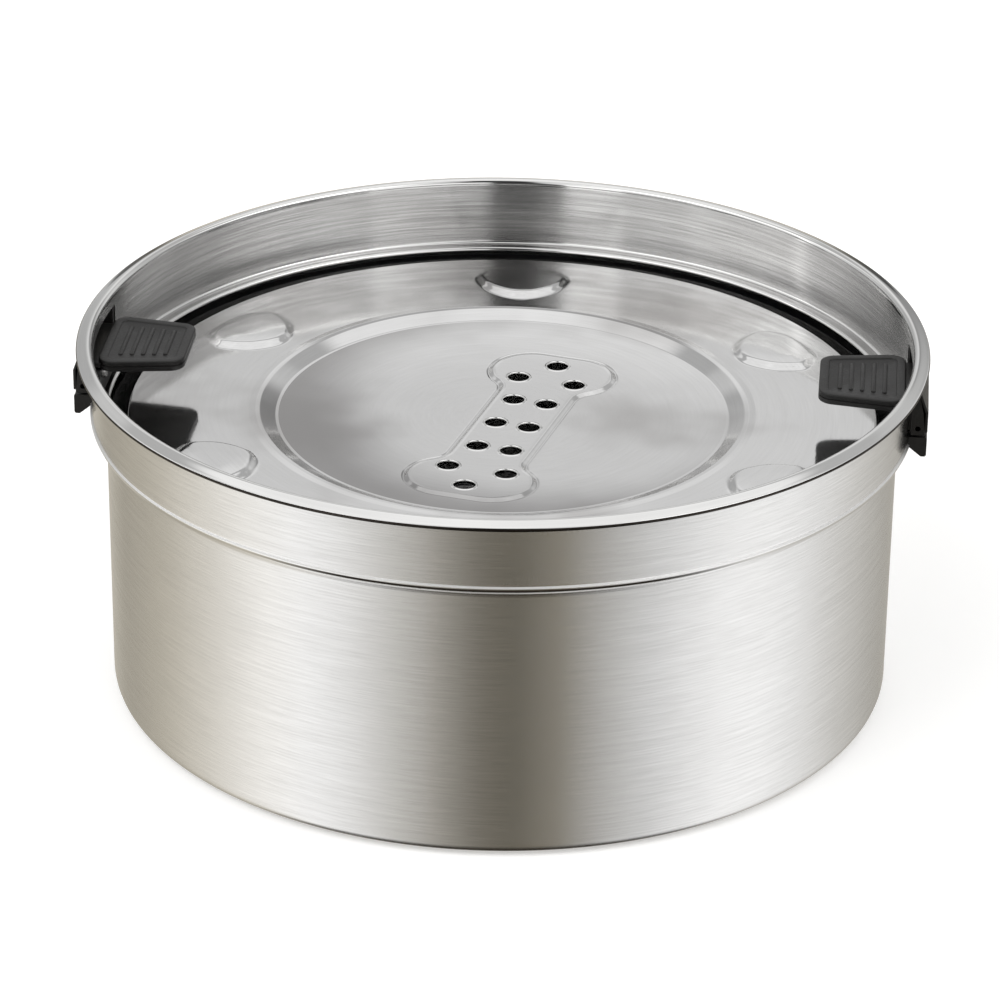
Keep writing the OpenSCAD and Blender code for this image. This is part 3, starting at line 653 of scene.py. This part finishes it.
# A node graph in a few words: nodes are made by type, sockets are set by name, and links by pairs
class Graph:
    def __init__(self, tree):
        self.tree = tree

    def feed(self, socket, value):
        if isinstance(value, bpy.types.NodeSocket):
            self.tree.links.new(value, socket)
        else:
            socket.default_value = value

    def node(self, kind, sockets=None, **settings):
        made = self.tree.nodes.new("ShaderNode" + kind)
        for key, value in settings.items():
            setattr(made, key, value)
        for key, value in (sockets or {}).items():
            self.feed(made.inputs[key], value)
        return made

    def math(self, operation, a, b=0.0, c=0.0, clamp=False):
        made = self.node("Math", operation=operation, use_clamp=clamp)
        for socket, value in zip(made.inputs, (a, b, c)):
            self.feed(socket, value)
        return made.outputs[0]

    # Noise on the object's own coordinates, or on the place given
    def noise(self, scale, detail=2.0, rough=0.5, place=None):
        if place is None:
            place = self.node("TexCoord").outputs["Object"]
        return self.node("TexNoise", {"Vector": place, "Scale": scale, "Detail": detail,
                                      "Roughness": rough}).outputs["Fac"]

    # An S-shaped rise from 0 to the most while the value goes from first to last
    def step(self, value, first, last, most=1.0):
        return self.node("MapRange", {"Value": value, "From Min": first, "From Max": last, "To Max": most},
                         interpolation_type="SMOOTHSTEP").outputs[0]

    def mix(self, share, a, b):
        made = self.node("Mix", data_type="RGBA")
        for name, value in (("Factor", share), ("A", a), ("B", b)):
            socket = next(s for s in made.inputs if s.name == name and s.enabled)
            self.feed(socket, (*value, 1) if isinstance(value, tuple) else value)
        return next(s for s in made.outputs if s.enabled)

    def ramp(self, value, stops):
        made = self.node("ValToRGB", {"Fac": value})
        bar = made.color_ramp.elements
        while len(bar) < len(stops):
            bar.new(0.5)
        for element, (at, colour) in zip(bar, stops):
            element.position = at
            element.color = (*colour, 1)
        return made.outputs["Color"]


def newMaterial(name):
    material = bpy.data.materials.new(name)
    material.use_nodes = True
    material.node_tree.nodes.clear()
    return material, Graph(material.node_tree)


# A node group: number inputs with their usual values, or one vector, and the outputs by name
def newGroup(name, inputs, outputs, kind="NodeSocketFloat"):
    tree = bpy.data.node_groups.new(name, "ShaderNodeTree")
    for label, value in inputs.items():
        inKind = "NodeSocketVector" if value is None else "NodeSocketFloat"
        socket = tree.interface.new_socket(label, in_out="INPUT", socket_type=inKind)
        if value is not None:
            socket.default_value = value
    for label in outputs:
        tree.interface.new_socket(label, in_out="OUTPUT", socket_type=kind)
    given, out = tree.nodes.new("NodeGroupInput").outputs, tree.nodes.new("NodeGroupOutput").inputs
    return tree, Graph(tree), given, out


brush = {"shares": (0.6, 0.4), "finerTurns": 3.0, "finerLines": 2.7, "contrast": 3.0}


# Brush lines that run round the axis: noise that changes slowly round the axis and quickly along
# radius plus height, and a share of finer lines; a slow cloud gives handling marks
def brushLines(s):
    tree, g, given, out = newGroup("brush_lines", {"Lines": 1500.0, "Turns": 3.0, "Cloud": 22.0},
                                   ("Streak", "Smudge", "Line Height"))
    place = g.node("TexCoord").outputs["Object"]
    x, y, z = g.node("SeparateXYZ", {"Vector": place}).outputs
    radius = g.math("SQRT", g.math("ADD", g.math("MULTIPLY", x, x), g.math("MULTIPLY", y, y)))
    safe = g.math("MAXIMUM", radius, 0.001)
    fine = g.math("MULTIPLY", g.math("ADD", radius, z), given["Lines"])

    def around(turns, depth):
        return g.node("CombineXYZ", {"X": g.math("MULTIPLY", g.math("DIVIDE", x, safe), turns),
                                     "Y": g.math("MULTIPLY", g.math("DIVIDE", y, safe), turns),
                                     "Z": depth}).outputs[0]

    first = g.noise(1.0, 2.0, 0.6, around(given["Turns"], fine))
    finer = g.math("MULTIPLY", fine, s["finerLines"])
    second = g.noise(1.0, 1.0, place=around(g.math("MULTIPLY", given["Turns"], s["finerTurns"]), finer))
    coarse, rest = s["shares"]
    both = g.math("ADD", g.math("MULTIPLY", first, coarse), g.math("MULTIPLY", second, rest))
    streak = g.math("MULTIPLY_ADD", g.math("SUBTRACT", both, 0.5), s["contrast"], 0.5, clamp=True)
    g.feed(out["Streak"], streak)
    g.feed(out["Smudge"], g.noise(given["Cloud"], 3.0, 0.55, place))
    g.feed(out["Line Height"], both)
    return tree


lines = brushLines(brush)
bumpDepth = {"lines": 0.0001, "wave": 0.001, "grain": 0.0002}


# Steel from the brush lines: streaks and handling marks between a light and a dark colour, a
# roughness that goes with both, and two bumps, the lines and a slow wave. Optionally it paints
# shade into the colour away from a place, standing in for a dark reflection: the place, the
# distances at which that starts and is full, and how much
def steel(name, s):
    material, g = newMaterial(name)
    grain = g.node("Group", node_tree=lines)
    for socket in ("Lines", "Turns", "Cloud"):
        grain.inputs[socket].default_value = s[socket.lower()]
    streak, smudge = grain.outputs["Streak"], grain.outputs["Smudge"]
    colour = g.mix(g.math("MULTIPLY", streak, s["streakTint"], clamp=True), s["light"], s["dark"])
    colour = g.mix(g.step(smudge, *s["marks"], s["cloudTint"]), colour, s["dark"])
    # painted shade: the colour turns darker further from the place, standing in for a dark reflection
    if "paintedDark" in s:
        place, near, far, most = s["paintedDark"]
        cloud = s["paintedDarkCloud"]
        apart = g.node("VectorMath", {0: g.node("TexCoord").outputs["Object"], 1: place},
                       operation="DISTANCE").outputs["Value"]
        apart = g.math("ADD", apart, g.math("MULTIPLY_ADD", smudge, cloud, -cloud / 2))
        colour = g.mix(g.step(apart, near, far, most), colour, s["paintedDarkTint"])
    rough = g.math("ADD", g.math("MULTIPLY_ADD", streak, s["streakRough"], s["rough"] - s["streakRough"] / 2),
                   g.math("MULTIPLY_ADD", smudge, s["cloudRough"], -s["cloudRough"] / 2))
    bump = g.node("Bump", {"Strength": s["bump"], "Distance": bumpDepth["lines"],
                           "Height": grain.outputs["Line Height"]})
    bend = g.node("Bump", {"Strength": s["wave"], "Distance": bumpDepth["wave"],
                           "Height": g.noise(s["waveScale"], 1.0), "Normal": bump.outputs[0]})
    shader = g.node("BsdfPrincipled", {"Base Color": colour, "Metallic": 1.0, "Roughness": rough,
                                       "Normal": bend.outputs[0], "Anisotropic": s["anisotropic"],
                                       "Anisotropic Rotation": 0.25})
    shader.inputs["IOR"].default_value = 1.5
    g.feed(shader.inputs["Tangent"], g.node("Tangent", direction_type="RADIAL", axis="Z").outputs[0])
    g.node("OutputMaterial", {"Surface": shader.outputs[0]})
    return material


# Settings that several steels share: a sheet brushed on a lathe, narrow trim, and the polished disk
brushed = {"cloud": 22.0, "rough": 0.20, "streakRough": 0.06, "cloudRough": 0.03, "waveScale": 9.0,
           "wave": 0.015, "anisotropic": 1.0, "marks": (0.44, 0.66)}
trim = {**brushed, "turns": 3.0, "cloud": 30.0, "cloudTint": 0.1, "waveScale": 20.0, "wave": 0.01}
polished = {"light": (0.77, 0.768, 0.765), "dark": (0.50, 0.488, 0.48), "lines": 900.0, "turns": 2.6,
            "cloud": 16.0, "streakTint": 0.15, "cloudTint": 0.8, "rough": 0.08, "streakRough": 0.04,
            "cloudRough": 0.05, "bump": 0.05, "waveScale": 26.0, "wave": 0.25, "anisotropic": 0.3,
            "marks": (0.44, 0.66)}

bowlSteel = steel("brushed_steel", {
    **brushed, "light": (0.85, 0.847, 0.84), "dark": (0.60, 0.592, 0.578), "lines": 2500.0, "turns": 5.0,
    "streakTint": 0.4, "cloudTint": 0.12, "bump": 0.36})
insideSteel = steel("brushed_inside", {
    **brushed, "light": (0.90, 0.897, 0.89), "dark": (0.48, 0.475, 0.465), "lines": 1500.0, "turns": 2.4,
    "streakTint": 0.8, "cloudTint": 0.15, "bump": 0.7})
trimSteel = steel("polished_trim", {
    **trim, "light": (0.84, 0.838, 0.83), "dark": (0.70, 0.69, 0.67), "lines": 2600.0, "streakTint": 0.2,
    "rough": 0.07, "streakRough": 0.03, "bump": 0.04, "anisotropic": 0.3})
diskSteel = steel("polished_steel", polished)
# Partly real and partly a painted highlight: the upper sides of the beads get a rougher satin steel, and its
# lighter colour paints the light line they catch from above
beadHighlightSteel = steel("satin_bead_painted_highlight", {
    **trim, "light": (0.95, 0.945, 0.935), "dark": (0.80, 0.79, 0.77), "lines": 2600.0, "streakTint": 0.3,
    "rough": 0.42, "bump": 0.04, "anisotropic": 0.0})
# Painted shade: the flat ledge inside is a darker copy of the trim steel, standing in for the shade and dark
# reflections under the band
ledgeShadeSteel = steel("inner_ledge_painted_shade", {
    **trim, "light": (0.56, 0.555, 0.55), "dark": (0.36, 0.355, 0.35), "lines": 2000.0, "streakTint": 0.6,
    "cloudTint": 0.3, "rough": 0.16, "streakRough": 0.05, "bump": 0.3, "anisotropic": 0.6})
# Painted shade: the underside of the roll gets a near black steel that stands in for the shade under the
# rolled rim
rollShadeSteel = steel("roll_painted_shade", {
    **trim, "light": (0.055, 0.048, 0.042), "dark": (0.03, 0.026, 0.023), "lines": 1200.0, "cloud": 60.0,
    "streakTint": 0.6, "cloudTint": 0.6, "rough": 0.26, "streakRough": 0.08, "cloudRough": 0.05, "bump": 0.1,
    "anisotropic": 0.0})
# Painted reflection: the dish is painted darker away from a place a little right of and behind its middle,
# with a cloudy border
dishSteel = steel("spun_dish", {
    **polished, "paintedDark": ((0.016, 0.010, 0.083), 0.046, 0.080, 0.85), "paintedDarkCloud": 0.03,
    "paintedDarkTint": (0.30, 0.292, 0.288)})
clipSteel = steel("drawn_steel", {
    **brushed, "light": (0.72, 0.71, 0.70), "dark": (0.48, 0.47, 0.46), "lines": 2500.0, "turns": 2.0,
    "cloud": 300.0, "streakTint": 0.4, "cloudTint": 0.3, "rough": 0.28, "streakRough": 0.1, "cloudRough": 0.1,
    "bump": 0.2, "waveScale": 200.0, "wave": 0.05, "anisotropic": 0.0})


mould = {"pitScale": 0.7, "pitShare": 0.5, "wearFrom": 0.45, "wearContrast": 3.0}


# Fine moulded grain, and a slow cloud of wear; small pits add to the grain's height
def mouldedGrain(s):
    tree, g, given, out = newGroup("moulded_grain", {"Grain Scale": 1800.0, "Cloud Scale": 90.0},
                                   ("Grain", "Wear", "Height"))
    place = g.node("TexCoord").outputs["Object"]
    grain = g.noise(given["Grain Scale"], 3.0, 0.65, place)
    cloud = g.noise(given["Cloud Scale"], 4.0, 0.6, place)
    pitScale = g.math("MULTIPLY", given["Grain Scale"], s["pitScale"])
    pits = g.node("TexVoronoi", {"Vector": place, "Scale": pitScale}).outputs["Distance"]
    worn = g.math("SUBTRACT", cloud, s["wearFrom"])
    g.feed(out["Grain"], grain)
    g.feed(out["Wear"], g.math("MULTIPLY_ADD", worn, s["wearContrast"], 0.0, clamp=True))
    g.feed(out["Height"], g.math("ADD", grain, g.math("MULTIPLY", pits, s["pitShare"])))
    return tree


grainGroup = mouldedGrain(mould)


# Plastic or rubber from the moulded grain: wear lightens the colour and roughens it
def moulded(name, s):
    material, g = newMaterial(name)
    grain = g.node("Group", node_tree=grainGroup)
    grain.inputs["Grain Scale"].default_value = s["grain"]
    grain.inputs["Cloud Scale"].default_value = s["cloud"]
    wear = grain.outputs["Wear"]
    colour = g.mix(g.math("MULTIPLY", wear, s["wear"]), s["colour"], s["worn"])
    fine = g.math("MULTIPLY_ADD", grain.outputs["Grain"], s["grainRough"], s["rough"] - s["grainRough"] / 2)
    rough = g.math("ADD", fine, g.math("MULTIPLY", wear, s["wearRough"]))
    bump = g.node("Bump", {"Strength": s["bump"], "Distance": bumpDepth["grain"],
                           "Height": grain.outputs["Height"]})
    shader = g.node("BsdfPrincipled", {"Base Color": colour, "Roughness": rough, "Normal": bump.outputs[0]})
    shader.inputs["Specular IOR Level"].default_value = s["specular"]
    g.node("OutputMaterial", {"Surface": shader.outputs[0]})
    return material


blackPlastic = moulded("black_plastic", {
    "colour": (0.011, 0.0105, 0.010), "worn": (0.022, 0.021, 0.020), "wear": 0.6, "grain": 1700.0,
    "cloud": 120.0, "rough": 0.36, "grainRough": 0.18, "wearRough": 0.12, "bump": 0.25, "specular": 0.35})
floatPlastic = moulded("float_plastic", {
    "colour": (0.03, 0.03, 0.032), "worn": (0.06, 0.06, 0.06), "wear": 0.5, "grain": 900.0,
    "cloud": 40.0, "rough": 0.42, "grainRough": 0.15, "wearRough": 0.1, "bump": 0.2, "specular": 0.5})
baseRubber = moulded("base_rubber", {
    "colour": (0.022, 0.021, 0.021), "worn": (0.08, 0.077, 0.073), "wear": 0.7, "grain": 1200.0,
    "cloud": 60.0, "rough": 0.72, "grainRough": 0.2, "wearRough": 0.1, "bump": 0.5, "specular": 0.5})
sealRubber = moulded("seal_rubber", {
    "colour": (0.62, 0.62, 0.61), "worn": (0.42, 0.42, 0.41), "wear": 0.5, "grain": 1500.0,
    "cloud": 70.0, "rough": 0.6, "grainRough": 0.15, "wearRough": 0.1, "bump": 0.25, "specular": 0.5})

finishes = {"bowl_steel": bowlSteel, "disk_steel": diskSteel, "base_rubber": baseRubber,
            "float_plastic": floatPlastic, "seal_rubber": sealRubber, "clip_plastic": blackPlastic,
            "clip_steel": clipSteel}
nodeFinish = {"bowl_shell": "bowl_steel", "float_disk": "disk_steel", "base_ring": "base_rubber",
              "float_tray": "float_plastic", "float_seal_outer": "seal_rubber",
              "float_seal_inner": "seal_rubber"}
for side in ("right", "left"):
    nodeFinish.update({f"{part}_{side}": "clip_plastic" for part in ("bracket", "retainer", "lever")})
    nodeFinish.update({f"{part}_{side}": "clip_steel" for part in ("hinge_pin", "spring", "clamp_screws")})
for name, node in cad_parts.items():
    for slot in node.material_slots:
        slot.material = finishes[nodeFinish[name]]
bowlSteels = (bowlSteel, trimSteel, insideSteel, beadHighlightSteel, ledgeShadeSteel, rollShadeSteel)
for piece, used in ((bowlPiece, bowlSteels), (landPiece, (diskSteel,)), (dishPiece, (dishSteel, trimSteel)),
                    (leverPieces["right"], (blackPlastic,)), (leverPieces["left"], (blackPlastic,))):
    for material in used:
        piece.data.materials.append(material)
print("materials made")


# The studio's strips of light are stops: angle in degrees round the object, brightness, and warmth.
# The pairs of numbers are the heights between which one part of the studio gives way to the next.
studio = {"turn": 11.0, "overhead": 0.98, "cloud": 0.25, "cloudScale": 3.2, "seam": 0.5, "horizon": 0.22,
          "brightest": 2.5, "dark": (0.03, 0.025, 0.02), "fromDark": (-0.80, -0.92), "fromLow": (-0.04, 0.04),
          "fromHigh": (0.42, 0.50), "lean": 0.75, "fromSeam": (0.56, 0.60), "fromOverhead": (0.70, 0.76),
          "horizonLine": (0.10, 0.05),
          "below": [(-180, 0.61, 0.06), (-163, 0.54, 0.07), (-150, 0.38, 0.08), (-138, 0.42, 0.08),
                    (-125, 0.49, 0.08), (-113, 0.59, 0.07), (-101, 0.75, 0.05), (-88, 0.93, 0.03),
                    (-76, 1.11, 0.015), (-63, 1.13), (-50, 0.95, 0.005), (-38, 0.66, 0.02),
                    (-25, 0.40, 0.05), (-12, 0.21, 0.08), (0, 0.14, 0.11), (12, 0.23, 0.10), (25, 0.51, 0.02),
                    (38, 0.76), (51, 0.97), (63, 1.13), (76, 1.15), (88, 1.03),
                    (101, 0.83, 0.01), (113, 0.68, 0.02), (126, 0.56, 0.03), (138, 0.47, 0.04),
                    (150, 0.42, 0.05), (180, 0.61, 0.06)],
          "low": [(-180, 0.68), (-165, 0.45), (-146, 0.50), (-123, 0.66), (-103, 0.86),
                  (-102, 1.7), (-99, 1.7), (-98, 0.94), (-77, 1.0), (-61.5, 0.95),
                  (-60.5, 0.66), (-40, 0.72), (-39, 1.3), (-24, 1.35), (-22, 0.10),
                  (-18, 0.05), (-5.5, 0.05), (-2.8, 0.10), (-0.8, 1.0), (12, 1.15),
                  (32, 1.0), (33.5, 0.52), (47, 0.36), (100, 0.3), (118, 0.55),
                  (138, 0.75), (150, 0.5), (158, 0.3), (163, 0.4), (169, 0.76), (180, 0.68)],
          "high": [(-180, 0.90), (-160, 0.6), (-135, 0.9), (-95, 1.9), (-60, 1.8),
                   (-40, 1.2), (-19, 0.75), (-15, 0.10), (-12, 0.04), (4, 0.04), (7, 0.10),
                   (10, 0.45), (15, 0.6), (35, 1.4), (52, 2.2), (72, 2.3), (88, 1.8),
                   (105, 0.9), (130, 0.5), (150, 0.6), (165, 0.85), (180, 0.90)]}


# Brightness of the studio seen in the steel. Stops by the angle round the object give one strip of
# light under the horizon, one low over it and one higher up; over those comes even light with soft
# clouds, which reaches further down at the far side than over the camera. A dark seam parts the
# strips from the light overhead, and a thin dark line lies along the horizon.
def studioLight(s):
    tree, g, given, out = newGroup("studio_light", {"Direction": None}, ("Color",), "NodeSocketColor")
    a = math.radians(s["turn"])
    unit = g.node("VectorMath", {0: given["Direction"]}, operation="NORMALIZE").outputs[0]
    up = g.node("SeparateXYZ", {"Vector": unit}).outputs["Z"]
    brightest = s["brightest"]

    def along(direction):
        return g.node("VectorMath", {0: unit, 1: direction}, operation="DOT_PRODUCT").outputs["Value"]

    right, toward = along((math.cos(a), math.sin(a), 0)), along((math.sin(a), -math.cos(a), 0))
    turn = g.math("MULTIPLY_ADD", g.math("ARCTAN2", right, toward), 0.5 / math.pi, 0.5)

    # A ramp's stops are scaled down so that the brightest stays under 1, and its result back up. A
    # warm stop has its share more red and twice its share less blue.
    def strip(stops):
        colours = []
        for at, v, *warm in stops:
            v, warm = v / brightest, sum(warm)
            colours.append((at / 360 + 0.5, (v * (1 + warm), v, v * (1 - 2 * warm))))
        ramp = g.ramp(turn, colours)
        return g.node("VectorMath", {0: ramp, "Scale": brightest}, operation="SCALE").outputs[0]

    colour = g.mix(g.step(up, *s["fromDark"]), strip(s["below"]), s["dark"])
    colour = g.mix(g.step(up, *s["fromLow"]), colour, strip(s["low"]))
    colour = g.mix(g.step(up, *s["fromHigh"]), colour, strip(s["high"]))
    height = g.math("SUBTRACT", up, g.math("MULTIPLY", g.math("MAXIMUM", toward, 0.0), s["lean"]))
    cloud = g.noise(s["cloudScale"], place=unit)
    tone = g.math("MULTIPLY_ADD", g.math("SUBTRACT", cloud, 0.5), s["cloud"] * 2, s["overhead"])
    even = g.node("CombineColor", {"Red": tone, "Green": tone, "Blue": tone}).outputs[0]
    colour = g.mix(g.step(height, *s["fromSeam"]), colour, (s["seam"],) * 3)
    colour = g.mix(g.step(height, *s["fromOverhead"]), colour, even)
    level = g.step(g.math("ABSOLUTE", up), *s["horizonLine"])
    g.feed(out["Color"], g.mix(g.math("MULTIPLY", level, 1 - s["horizon"]), colour, (0.0, 0.0, 0.0)))
    return tree


world = bpy.data.worlds.new("studio")
bpy.context.scene.world = world
world.use_nodes = True
world.node_tree.nodes.clear()
g = Graph(world.node_tree)
seen = g.node("Group", node_tree=studioLight(studio))
g.feed(seen.inputs["Direction"], g.node("TexCoord").outputs["Generated"])
ray = g.node("LightPath")
colour = g.mix(ray.outputs["Is Camera Ray"], seen.outputs[0], (1.0, 1.0, 1.0))
sky = g.node("Background", {"Color": colour, "Strength": 1.0})
g.node("OutputWorld", {"Surface": sky.outputs[0]})


paper = {"reach": 9.0, "light": (0.90, 0.895, 0.885), "dark": (0.84, 0.835, 0.825), "grain": 0.04,
         "grainScale": 400.0, "glow": 0.28}


# Pale paper that keeps the shadow; the steel looks past it to the studio's strip under the horizon
def makeFloor(s):
    steps = np.linspace(-s["reach"], s["reach"], 3)
    x, y = np.meshgrid(steps, steps, indexing="xy")
    ids = np.arange(x.size).reshape(x.shape)
    mesh = bpy.data.meshes.new("floor")
    places = np.stack((x.ravel(), y.ravel(), np.zeros(x.size)), -1)
    mesh.from_pydata(places.tolist(), [], gridFaces(ids).reshape(-1, 4).tolist())
    floor = bpy.data.objects.new("floor", mesh)
    bpy.context.scene.collection.objects.link(floor)
    floor.visible_glossy = False
    material, g = newMaterial("floor_paper")
    grain = g.math("MULTIPLY", g.noise(s["grainScale"]), s["grain"])
    sheet = g.node("BsdfDiffuse", {"Color": g.mix(grain, s["light"], s["dark"])})
    seenGlow = g.math("MULTIPLY", g.node("LightPath").outputs["Is Camera Ray"], s["glow"])
    glow = g.node("Emission", {"Color": (1, 1, 1, 1), "Strength": seenGlow})
    both = g.node("AddShader", {0: sheet.outputs[0], 1: glow.outputs[0]})
    g.node("OutputMaterial", {"Surface": both.outputs[0]})
    mesh.materials.append(material)


lamps = {"key": {"place": (-0.9, -0.9, 1.7), "size": 1.2, "power": 9.0},
         "fill": {"place": (1.4, -0.3, 1.2), "size": 1.2, "power": 4.0}}
lampAim = (0, 0, 0.05)


# A square soft light that looks at the middle of the bowl and that the steel doesn't show
def makeLamp(name, s):
    lamp = bpy.data.lights.new(name, "AREA")
    lamp.shape, lamp.size, lamp.size_y, lamp.energy = "RECTANGLE", s["size"], s["size"], s["power"]
    holder = bpy.data.objects.new(name, lamp)
    holder.location = s["place"]
    holder.rotation_mode = "QUATERNION"
    holder.rotation_quaternion = (Vector(lampAim) - Vector(s["place"])).to_track_quat("-Z", "Y")
    holder.visible_glossy = False
    bpy.context.scene.collection.objects.link(holder)


makeFloor(paper)
for name, settings in lamps.items():
    makeLamp(name, settings)


camera = {"azimuth": 5.1429, "elevation": 26.3805, "distance": 1.255384, "aim": (-0.0003424, 0.0538387),
          "roll": 0.7307, "lens": 151.08, "sensor": 36.0, "clip": (0.01, 50.0)}


# The camera stands on a line through the aim point, at an azimuth and elevation, rolled a little
def makeCamera(s):
    az, el, roll = (math.radians(s[k]) for k in ("azimuth", "elevation", "roll"))
    back = Vector((math.sin(az) * math.cos(el), -math.cos(az) * math.cos(el), math.sin(el)))
    level = Vector((math.cos(az), math.sin(az), 0))
    raised = back.cross(level)
    right = level * math.cos(roll) + raised * math.sin(roll)
    up = raised * math.cos(roll) - level * math.sin(roll)
    data = bpy.data.cameras.new("camera")
    data.sensor_width, data.lens = s["sensor"], s["lens"]
    data.clip_start, data.clip_end = s["clip"]
    holder = bpy.data.objects.new("camera", data)
    spot = level * s["aim"][0] + Vector((0, 0, s["aim"][1])) + back * s["distance"]
    turn = Matrix((right, up, back)).transposed().to_4x4()
    holder.matrix_world = Matrix.Translation(spot) @ turn
    bpy.context.scene.collection.objects.link(holder)
    bpy.context.scene.camera = holder


makeCamera(camera)
bpy.context.scene.view_settings.view_transform = "Standard"
print("studio made")
